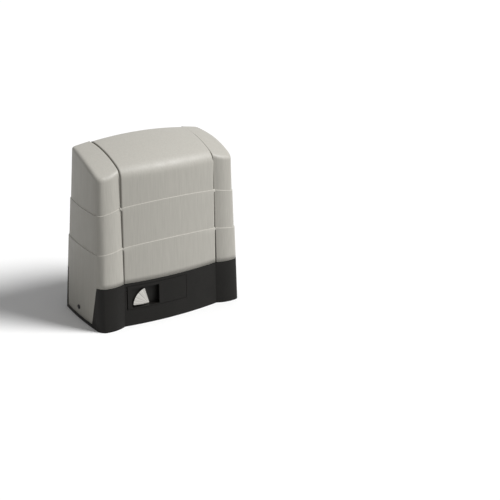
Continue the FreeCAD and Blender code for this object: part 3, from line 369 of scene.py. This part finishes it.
def skirt_points(rim):
    """The cap's skirt down the base's end: rows from its foot up to the cap's rim, each following the end's
    outline between the skirt's slanted front edge and its straight rear edge, in the rim's proportions."""
    share = (rim[:, 1] - rim[0, 1]) / (rim[-1, 1] - rim[0, 1])
    rows = []
    for z in np.linspace(SKIRT_BOTTOM, COVER_FOOT, 14)[:-1]:
        outline = end_outline(float(z), 400)
        end = outline[(outline[:, 0] > 150) & (np.abs(outline[:, 1]) < 84)]
        front = -np.interp(z, [SKIRT_BOTTOM, RIM], [SKIRT_FRONT_LOW, SKIRT_FRONT_HIGH])
        y = front + share * (rim[-1, 1] - front)
        rows.append(np.stack([np.interp(y, end[:, 1], end[:, 0]), y, np.full(len(y), z)], -1))
    return np.array(rows)


def tongue_points(form):
    """The right cap's tongue: the cover's right edge moved inwards by its wall and the fit, and drawn out
    along X, from under the cover to behind the cap's face."""
    grid = cover_points(form)
    edge, beside = grid[:, -1], grid[:, -2]
    up = np.gradient(edge, axis=0)
    out = np.cross(edge - beside, up)
    out /= np.linalg.norm(out, axis=1, keepdims=True)
    inner = edge - (form.wall + TONGUE_FIT) * out
    reach = np.linspace(-6.0, 5.4, 4)
    return inner[:, None] + reach[None, :, None] * np.array([1.0, 0, 0])


def ring_normals(outline):
    """Unit normals of a closed outline that runs anticlockwise, pointing inwards."""
    way = np.roll(outline, -1, axis=0) - np.roll(outline, 1, axis=0)
    way /= np.linalg.norm(way, axis=1, keepdims=True)
    return np.stack([-way[:, 1], way[:, 0]], -1)


def pressed(outline, profile):
    """A solid pressed from a closed outline in X and Z: each (y, inset) of the profile is one ring, from
    the back to the front, and a fan of faces closes each end."""
    normals = ring_normals(outline)
    rings = [np.stack([(outline + inset * normals)[:, 0], np.full(len(outline), y),
                       (outline + inset * normals)[:, 1]], -1) for y, inset in profile]
    middle = outline.mean(axis=0)
    ends = [[middle[0], profile[0][0], middle[1]], [middle[0], profile[-1][0], middle[1]]]
    points = np.concatenate([np.concatenate(rings), ends])
    count = len(outline)
    here = np.arange(count)
    last = (len(profile) - 1) * count
    faces = list(grid_faces(len(profile), count, closed=True))
    faces += list(np.stack([np.roll(here, -1), here, np.full(count, len(points) - 2)], 1))
    faces += list(np.stack([last + here, last + np.roll(here, -1), np.full(count, len(points) - 1)], 1))
    return points, faces


def sector(pivot, radius, rounding, first, last):
    """A sector with rounded corners: every point within the rounding of a sharp, smaller sector. Angles
    are in degrees from +X towards +Z."""
    def turn(centre, reach, start, end, count):
        angle = np.radians(np.linspace(start, end, count))
        return np.asarray(centre) + reach * np.stack([np.cos(angle), np.sin(angle)], -1)

    tips = [turn(pivot, radius - rounding, angle, angle, 1)[0] for angle in (first, last)]
    return np.concatenate([
        turn(pivot, rounding, last + 90, first + 270, 27),
        turn(tips[0], rounding, first - 90, first, 13)[:-1],
        turn(pivot, radius, first, last, 61), turn(tips[1], rounding, last, last + 90, 13)[1:-1]])


def coil_points(centre, low, high, coil, wire, turns, sides=10):
    """A round wire on a helix: the centre line is (R cos a, R sin a, rise), with rise in proportion to a,
    and the wire's ring lies across its tangent. The ends have no rise, as ground ends do."""
    angle = np.linspace(0, 2 * math.pi * turns, int(turns * 20))
    rise = np.interp(angle, [0, 2 * math.pi, angle[-1] - 2 * math.pi, angle[-1]],
                     [0, 1.4 * wire, high - low - 3.4 * wire, high - low - 2 * wire])
    line = np.stack([coil * np.cos(angle), coil * np.sin(angle), low + wire + rise], -1)
    tangent = np.gradient(line, axis=0)
    tangent /= np.linalg.norm(tangent, axis=1, keepdims=True)
    out = np.stack([np.cos(angle), np.sin(angle), 0 * angle], -1)
    side = np.cross(tangent, out)
    around = np.linspace(0, 2 * math.pi, sides, endpoint=False)[None, :, None]
    points = line[:, None] + wire * (np.cos(around) * out[:, None] + np.sin(around) * side[:, None])
    points[..., :2] += np.asarray(centre)
    faces = list(grid_faces(len(line), sides, closed=True))
    last = (len(line) - 1) * sides
    return points.reshape(-1, 3), faces + [list(range(sides))[::-1], [last + i for i in range(sides)]]


# ---------------------------------------------------------------- finishes


def seen_directly(tree):
    """A node output that is 1 for camera, glossy and transmission rays and 0 for the rest: the largest of
    the three."""
    rays = tree.nodes.new("ShaderNodeLightPath")
    seen = rays.outputs["Is Camera Ray"]
    for name in ("Is Glossy Ray", "Is Transmission Ray"):
        either = tree.nodes.new("ShaderNodeMath")
        either.operation = "MAXIMUM"
        tree.links.new(seen, either.inputs[0])
        tree.links.new(rays.outputs[name], either.inputs[1])
        seen = either.outputs[0]
    return seen


class Finish:
    """A material being made: a Principled shader whose detail comes from Object coordinates."""

    def __init__(self, name, color, metallic, roughness):
        self.material = bpy.data.materials.new(name)
        self.material.use_nodes = True
        self.tree = self.material.node_tree
        self.shader = self.tree.nodes["Principled BSDF"]
        self.color, self.roughness = color, roughness
        self.shader.inputs["Base Color"].default_value = (*color, 1)
        self.shader.inputs["Metallic"].default_value = metallic
        self.shader.inputs["Roughness"].default_value = roughness
        self.place = self.tree.nodes.new("ShaderNodeTexCoord").outputs["Object"]

    def noise(self, scale, detail=3.0, stretch=(1, 1, 1), place=None):
        """Noise with this many grains to the metre, drawn out where the stretch is small."""
        mapping = self.tree.nodes.new("ShaderNodeMapping")
        mapping.inputs["Scale"].default_value = stretch
        texture = self.tree.nodes.new("ShaderNodeTexNoise")
        texture.inputs["Scale"].default_value = scale
        texture.inputs["Detail"].default_value = detail
        self.tree.links.new(place or self.place, mapping.inputs["Vector"])
        self.tree.links.new(mapping.outputs["Vector"], texture.inputs["Vector"])
        return texture.outputs["Fac"]

    def spread(self, source, low, high, start=0.3, end=0.7):
        """Map a value from start to end on to low to high."""
        node = self.tree.nodes.new("ShaderNodeMapRange")
        for key, value in (("From Min", start), ("From Max", end), ("To Min", low), ("To Max", high)):
            node.inputs[key].default_value = value
        self.tree.links.new(source, node.inputs["Value"])
        return node.outputs["Result"]

    def tint(self, source, first, second):
        """Colour between two tones, by a value from 0 to 1."""
        node = self.tree.nodes.new("ShaderNodeMix")
        node.data_type = "RGBA"
        node.inputs[6].default_value = (*first, 1)
        node.inputs[7].default_value = (*second, 1)
        self.tree.links.new(source, node.inputs[0])
        self.tree.links.new(node.outputs[2], self.shader.inputs["Base Color"])

    def shade(self, source, amount):
        """Colour a little lighter and darker than its own, by a noise."""
        dark, light = ([min(1, part * (1 + side * amount)) for part in self.color] for side in (-1, 1))
        self.tint(self.spread(source, 0, 1), dark, light)

    def polish(self, source, amount):
        """Roughness a little above and below its own, by a noise."""
        value = self.spread(source, max(0.02, self.roughness - amount), self.roughness + amount)
        self.tree.links.new(value, self.shader.inputs["Roughness"])

    def relief(self, source, depth):
        """Bumps of this depth in millimetres."""
        node = self.tree.nodes.new("ShaderNodeBump")
        node.inputs["Strength"].default_value = 1.0
        node.inputs["Distance"].default_value = depth * MM
        self.tree.links.new(source, node.inputs["Height"])
        self.tree.links.new(node.outputs["Normal"], self.shader.inputs["Normal"])

    def turn(self, pivot):
        """The angle of a point round a pivot in X and Z, in radians: arc tangent of Z over X."""
        split = self.tree.nodes.new("ShaderNodeSeparateXYZ")
        self.tree.links.new(self.place, split.inputs[0])
        parts = []
        for output, middle in (("Z", pivot[1]), ("X", pivot[0])):
            less = self.tree.nodes.new("ShaderNodeMath")
            less.operation = "SUBTRACT"
            less.inputs[1].default_value = middle
            self.tree.links.new(split.outputs[output], less.inputs[0])
            parts.append(less.outputs[0])
        angle = self.tree.nodes.new("ShaderNodeMath")
        angle.operation = "ARCTAN2"
        self.tree.links.new(parts[0], angle.inputs[0])
        self.tree.links.new(parts[1], angle.inputs[1])
        joined = self.tree.nodes.new("ShaderNodeCombineXYZ")
        self.tree.links.new(angle.outputs[0], joined.inputs[0])
        return joined.outputs[0]


# slot: colour, metallic, roughness, grains to the metre, relief in mm, shade, polish, stretch
FINISHES = {
    "black_screw": ((0.03, 0.03, 0.032), 0.7, 0.38, 900, 0.01, 0.12, 0.08, (1, 1, 1)),
    "zinc_steel": ((0.60, 0.60, 0.57), 1.0, 0.36, 160, 0.004, 0.12, 0.10, (1, 1, 1)),
    "rubber_black": ((0.022, 0.022, 0.022), 0.0, 0.78, 1300, 0.02, 0.15, 0.06, (1, 1, 1)),
    "cast_aluminium": ((0.56, 0.56, 0.55), 1.0, 0.50, 700, 0.08, 0.10, 0.10, (1, 1, 1)),
    "bearing_steel": ((0.62, 0.62, 0.61), 1.0, 0.20, 2400, 0.002, 0.05, 0.05, (1, 0.02, 1)),
    "machined_steel": ((0.52, 0.52, 0.51), 1.0, 0.28, 2600, 0.004, 0.08, 0.08, (1, 0.02, 1)),
    "bronze": ((0.60, 0.36, 0.15), 1.0, 0.33, 1800, 0.006, 0.10, 0.08, (1, 0.05, 1)),
    "lamination_steel": ((0.36, 0.36, 0.35), 1.0, 0.46, 2000, 0.05, 0.25, 0.08, (1, 0.01, 0.01)),
    "brass_lock": ((0.70, 0.52, 0.24), 1.0, 0.27, 2200, 0.004, 0.08, 0.07, (1, 0.05, 1)),
    "black_plastic": ((0.024, 0.024, 0.025), 0.0, 0.48, 1100, 0.02, 0.10, 0.06, (1, 1, 1)),
    "spring_steel": ((0.50, 0.50, 0.49), 1.0, 0.27, 1500, 0.003, 0.08, 0.06, (1, 1, 0.1)),
    "grey_plastic": ((0.33, 0.34, 0.35), 0.0, 0.50, 1100, 0.02, 0.05, 0.05, (1, 1, 1)),
    "terminal_green": ((0.05, 0.36, 0.12), 0.0, 0.42, 900, 0.01, 0.06, 0.05, (1, 1, 1)),
    "transformer_wrap": ((0.62, 0.48, 0.14), 0.0, 0.30, 500, 0.06, 0.10, 0.08, (1, 1, 0.08)),
}


def cover_grey(name, color):
    """Moulded plastic with a fine spark-eroded grain and faint upright lines from the tool."""
    finish = Finish(name, color, 0.0, 0.52)
    finish.shade(finish.noise(420, 2.0, (1, 1, 0.01)), 0.05)
    finish.polish(finish.noise(60, 3.0), 0.04)
    finish.relief(finish.noise(2200, 2.0), 0.012)
    return finish.material


def base_black(name, color):
    """Powder-painted casting: near black, satin, with a soft orange peel."""
    finish = Finish(name, color, 0.0, 0.50)
    finish.shader.inputs["Specular IOR Level"].default_value = 0.18
    finish.shade(finish.noise(30, 3.0), 0.15)
    finish.polish(finish.noise(220, 3.0), 0.06)
    finish.relief(finish.noise(520, 3.0), 0.05)
    return finish.material


def chrome(name, color):
    """Plated sheet whose colour carries painted reflection: broad light and dark bands run out from the
    pivot, from noise along the angle round it, in place of the surroundings mirrored in the chrome.
    Roughness and relief from the same angle give its fine streaks.
    """
    finish = Finish(name, color, 1.0, 0.20)
    angle = finish.turn([part * MM for part in KEY_PIVOT])
    # painted reflection: light and dark bands of colour round the pivot stand in for the chrome's reflected
    # surroundings
    finish.shade(finish.noise(13, 4.0, place=angle), 0.55)
    finish.polish(finish.noise(120, 3.0, place=angle), 0.10)
    finish.relief(finish.noise(150, 2.0, place=angle), 0.002)
    return finish.material


def board_green(name, color):
    """Solder mask over copper: tracks are the walls of stretched cells, a little lighter and raised."""
    finish = Finish(name, color, 0.0, 0.34)
    cells = finish.tree.nodes.new("ShaderNodeTexVoronoi")
    cells.feature = "DISTANCE_TO_EDGE"
    cells.inputs["Scale"].default_value = 170
    finish.tree.links.new(finish.place, cells.inputs["Vector"])
    track = finish.spread(cells.outputs["Distance"], 1, 0, 0.04, 0.08)
    finish.tint(track, color, [min(1, part * 2.1) for part in color])
    finish.relief(track, 0.03)
    return finish.material


def plain_finish(name):
    """A finish from the table: shaded and polished by one noise, with the relief of its grain."""
    color, metallic, roughness, grains, depth, shade, polish, stretch = FINISHES[name]
    finish = Finish(name, color, metallic, roughness)
    grain = finish.noise(grains, 3.0, stretch)
    finish.shade(finish.noise(grains / 12, 3.0, stretch), shade)
    finish.polish(grain, polish)
    finish.relief(grain, depth)
    return finish.material


def finish_of(slot):
    """The material of a slot, made when it is first asked for."""
    if slot in bpy.data.materials and bpy.data.materials[slot].get("gate_motor"):
        return bpy.data.materials[slot]
    colors = bpy.context.scene.gate_motor_finish
    if slot == "cover_grey":
        material = cover_grey(slot, colors.cover)
    elif slot == "base_black":
        material = base_black(slot, colors.base)
    elif slot == "chrome":
        material = chrome(slot, colors.chrome)
    elif slot == "board_green":
        material = board_green(slot, (0.02, 0.15, 0.06))
    elif slot in FINISHES:
        material = plain_finish(slot)
    else:
        raise ValueError(f"there is no finish for the slot {slot}")
    material["gate_motor"] = True
    return material


# ---------------------------------------------------------------- operators


class GATEMOTOR_OT_cover(bpy.types.Operator):
    """Make the lift-off cover between the end caps"""

    bl_idname = "gatemotor.cover"
    bl_label = "Cover"
    bl_options = {"REGISTER", "UNDO"}

    def execute(self, context):
        form = context.scene.gate_motor_housing
        points = cover_points(form)
        rows, columns = points.shape[:2]
        piece = mesh_piece("cover", points.reshape(-1, 3), grid_faces(rows, columns), "cover",
                           finish_of("cover_grey"))
        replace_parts(walled(piece, form.wall), "cover_shell")
        return {"FINISHED"}


class GATEMOTOR_OT_caps(bpy.types.Operator):
    """Make both end caps with their skirts down the base's ends"""

    bl_idname = "gatemotor.caps"
    bl_label = "End caps"
    bl_options = {"REGISTER", "UNDO"}

    def execute(self, context):
        form = context.scene.gate_motor_housing
        shell, shell_faces = cap_points(form)
        foot = shell[:CAP_COLUMNS]
        rim = np.flatnonzero((foot[:, 0] > 150) & (foot[:, 1] > -SKIRT_FRONT_HIGH - 0.2)
                             & (foot[:, 1] < SKIRT_REAR))
        skirt = skirt_points(shell[rim])
        joint = len(shell) + skirt.shape[0] * skirt.shape[1] - len(rim) + np.arange(len(rim))
        seam = np.stack([joint[:-1], joint[1:], rim[1:], rim[:-1]], 1)
        points = np.concatenate([shell, skirt.reshape(-1, 3)])
        faces = list(shell_faces) + list(grid_faces(*skirt.shape[:2], start=len(shell))) + list(seam)
        tongue = tongue_points(form)
        for side, way in (("right", 1), ("left", -1)):
            piece = mesh_piece(f"cap_{side}", points * (way, 1, 1), faces, f"cap_{side}",
                               finish_of("cover_grey"), flip=way < 0)
            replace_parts(walled(piece, form.wall), f"end_cap_{side}")
            strip = mesh_piece(f"tongue_{side}", tongue.reshape(-1, 3) * (way, 1, 1),
                               grid_faces(*tongue.shape[:2]), f"cap_{side}", finish_of("cover_grey"),
                               flip=way < 0)
            walled(strip, TONGUE_WALL)
        return {"FINISHED"}


class GATEMOTOR_OT_key_cover(bpy.types.Operator):
    """Make the chrome cover that swings over the lock, on its pin"""

    bl_idname = "gatemotor.key_cover"
    bl_label = "Key cover"
    bl_options = {"REGISTER", "UNDO"}

    def execute(self, context):
        blade, blade_faces = pressed(
            sector(KEY_PIVOT, KEY_RADIUS, 2.6, KEY_START, KEY_END),
            ((-80.5, 0.3), (-80.8, 0), (-83.3, 0), (-83.75, 0.2), (-83.95, 0.6), (-84.0, 1.2)))
        pin, pin_faces = pressed(sector(KEY_PIVOT, 1.6, 1.5, KEY_START, KEY_END),
                                 ((-76.5, 0), (-80.6, 0)))
        faces = list(blade_faces) + [np.asarray(face) + len(blade) for face in pin_faces]
        piece = mesh_piece("key_blade", np.concatenate([blade, pin]), faces, "key_flap",
                           finish_of("chrome"))
        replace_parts(piece, "key_cover")
        return {"FINISHED"}


class GATEMOTOR_OT_wand(bpy.types.Operator):
    """Make the coil spring of the limit switch's wand"""

    bl_idname = "gatemotor.wand"
    bl_label = "Wand spring"
    bl_options = {"REGISTER", "UNDO"}

    def execute(self, context):
        low, high = (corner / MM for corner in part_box("wand_spring"))
        wire = 0.55
        centre = ((low.x + high.x) / 2, (low.y + high.y) / 2)
        coil = (high.x - low.x) / 2 - wire
        points, faces = coil_points(centre, low.z, high.z, coil, wire, (high.z - low.z) / 1.35)
        piece = mesh_piece("wand_coil", points, faces, "wand", finish_of("spring_steel"),
                           angle=60)
        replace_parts(piece, "wand_spring")
        return {"FINISHED"}


class GATEMOTOR_OT_fittings(bpy.types.Operator):
    """Give every sub-part that shows its finish"""

    bl_idname = "gatemotor.fittings"
    bl_label = "Fittings"
    bl_options = {"REGISTER", "UNDO"}

    def execute(self, context):
        slots = {part["node"]: part["material_slot"] for part in frame["record"]["subparts"]}
        for name, part in frame["nodes"].items():
            if part.hide_render:
                continue
            for place in part.material_slots:
                place.material = finish_of(slots[name])
        return {"FINISHED"}


class GATEMOTOR_OT_stage(bpy.types.Operator):
    """Set the floor, the light and the camera"""

    bl_idname = "gatemotor.stage"
    bl_label = "Stage"
    bl_options = {"REGISTER", "UNDO"}

    def execute(self, context):
        scene = context.scene
        mesh = bpy.data.meshes.new("floor")
        mesh.from_pydata([(-12, -12, 0), (12, -12, 0), (12, 12, 0), (-12, 12, 0)], [], [(0, 1, 2, 3)])
        floor = bpy.data.objects.new("floor", mesh)
        scene.collection.objects.link(floor)
        finish = Finish("floor", scene.gate_motor_finish.floor, 0.0, 0.9)
        finish.shader.inputs["Specular IOR Level"].default_value = 0.1
        finish.tint(seen_directly(finish.tree), (0.42, 0.42, 0.41), scene.gate_motor_finish.floor)
        mesh.materials.append(finish.material)

        world = bpy.data.worlds.new("studio")
        scene.world = world
        world.use_nodes = True
        tree = world.node_tree
        ambient = tree.nodes["Background"]
        ambient.inputs["Color"].default_value = (1, 1, 1, 1)
        ambient.inputs["Strength"].default_value = 0.26
        backdrop = tree.nodes.new("ShaderNodeBackground")
        backdrop.inputs["Color"].default_value = (1, 1, 1, 1)
        backdrop.inputs["Strength"].default_value = 1.0
        mix = tree.nodes.new("ShaderNodeMixShader")
        tree.links.new(seen_directly(tree), mix.inputs[0])
        tree.links.new(ambient.outputs[0], mix.inputs[1])
        tree.links.new(backdrop.outputs[0], mix.inputs[2])
        tree.links.new(mix.outputs[0], tree.nodes["World Output"].inputs["Surface"])

        lamp = bpy.data.lights.new("key", "SUN")
        lamp.energy, lamp.angle = 3.4, math.radians(24)
        light = bpy.data.objects.new("key", lamp)
        scene.collection.objects.link(light)
        light.location = (1.75, -1.6, 2.5)
        light.rotation_euler = (-light.location).to_track_quat("-Z", "Y").to_euler()

        azimuth, height, roll = (math.radians(angle) for angle in (-37.112, 21.104, 1.792))
        back = Vector((math.sin(azimuth) * math.cos(height), -math.cos(azimuth) * math.cos(height),
                       math.sin(height)))
        right = Vector((0, 0, 1)).cross(back).normalized()
        up = back.cross(right)
        across = math.cos(roll) * right + math.sin(roll) * up
        upright = -math.sin(roll) * right + math.cos(roll) * up
        data = bpy.data.cameras.new("view")
        data.lens, data.sensor_width = 85.43, 36.0
        data.dof.use_dof = False
        camera = bpy.data.objects.new("view", data)
        scene.collection.objects.link(camera)
        camera.matrix_world = Matrix.Translation((-1.3519, -2.1585, 1.1164)) @ Matrix(
            (across, upright, back)).transposed().to_4x4()
        scene.camera = camera
        scene.view_settings.view_transform = "Standard"
        return {"FINISHED"}


class GATEMOTOR_PT_panel(bpy.types.Panel):
    """Settings and steps of the gate motor"""

    bl_idname = "GATEMOTOR_PT_panel"
    bl_label = "Sliding Gate Motor"
    bl_space_type = "VIEW_3D"
    bl_region_type = "UI"
    bl_category = "Gate Motor"

    def draw(self, context):
        layout = self.layout
        for settings in (context.scene.gate_motor_housing, context.scene.gate_motor_finish):
            column = layout.column(align=True)
            for name in settings.__annotations__:
                column.prop(settings, name)
        column = layout.column(align=True)
        for step in STEPS:
            column.operator(step.bl_idname)


STEPS = (GATEMOTOR_OT_cover, GATEMOTOR_OT_caps, GATEMOTOR_OT_key_cover, GATEMOTOR_OT_wand,
         GATEMOTOR_OT_fittings, GATEMOTOR_OT_stage)
CLASSES = (GateMotorHousing, GateMotorFinish, *STEPS, GATEMOTOR_PT_panel)


def register():
    for cls in CLASSES:
        bpy.utils.register_class(cls)
    bpy.types.Scene.gate_motor_housing = bpy.props.PointerProperty(type=GateMotorHousing)
    bpy.types.Scene.gate_motor_finish = bpy.props.PointerProperty(type=GateMotorFinish)


def unregister():
    del bpy.types.Scene.gate_motor_finish
    del bpy.types.Scene.gate_motor_housing
    for cls in reversed(CLASSES):
        bpy.utils.unregister_class(cls)


def main():
    """Build every piece and the stage."""
    register()
    for step in STEPS:
        package, name = step.bl_idname.split(".")
        getattr(getattr(bpy.ops, package), name)()
    bpy.context.view_layer.update()


if __name__ == "__main__":
    main()
